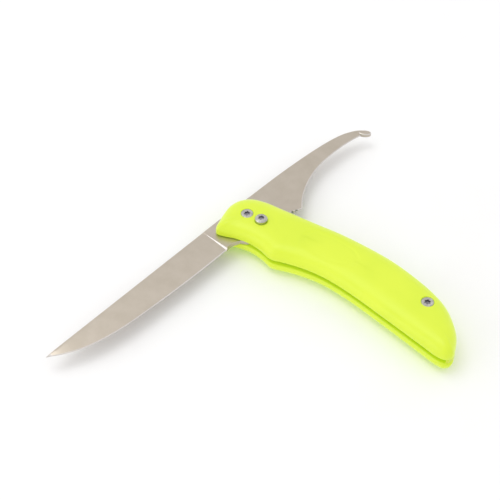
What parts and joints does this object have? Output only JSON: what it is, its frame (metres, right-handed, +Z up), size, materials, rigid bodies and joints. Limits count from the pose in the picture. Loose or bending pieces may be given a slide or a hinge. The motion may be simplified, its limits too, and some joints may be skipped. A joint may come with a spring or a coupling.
{
  "type": "swing-blade folding knife",
  "caption": "Folding knife lying half open: one pivoting steel with a long fillet blade and a hooked gutting blade, in a curved moulded handle with a push-button lock.",
  "frame": {"origin": "on the blade pivot's axis, on the lower scale's flat outer face, which the knife lies on", "axes": "+Z up through the handle's thickness, along the pivot; +X along the handle to its butt; the fillet blade points along -Y and the gutting blade along +Y"},
  "size_m": [0.1284, 0.2018, 0.0177],
  "materials": {
    "moulded_scale": "satin moulded, fluorescent lime",
    "moulded_spacer": "satin moulded, fluorescent lime",
    "blade_steel": "fine belt satin",
    "liner_steel": "rolled sheet",
    "hardware_steel": "turned and tumbled",
    "button_steel": "turned, satin",
    "spring_steel": "drawn wire",
    "washer_bronze": "lapped"
  },
  "bodies": {
    "handle": {"lower_scale": "moulded_scale", "upper_scale": "moulded_scale", "butt_spacer": "moulded_spacer", "lower_liner": "liner_steel", "upper_liner": "liner_steel", "spacer_dowel": "hardware_steel", "pivot_barrel": "hardware_steel", "pivot_screw": "hardware_steel", "rear_barrel": "hardware_steel", "rear_screw": "hardware_steel", "upper_washer": "washer_bronze", "lower_washer": "washer_bronze", "spring_seat": "hardware_steel", "lock_spring": "spring_steel"},
    "blades": {"double_blade": "blade_steel"},
    "button": {"lock_button": "button_steel", "lock_pin": "hardware_steel"}
  },
  "joints": [
    {"name": "blade_swing", "type": "hinge", "parent": "handle", "child": "blades", "pos_m": [0, 0, 0.008], "axis": [0, 0, 1], "range_deg": [-85.5, 94.5]},
    {"name": "lock_press", "type": "slide", "parent": "handle", "child": "button", "axis": [0, 0, -1], "range_m": [0, 0.0014], "stiffness_N_per_m": 800, "springref_m": -0.001, "deforming": ["lock_spring"]}
  ]
}
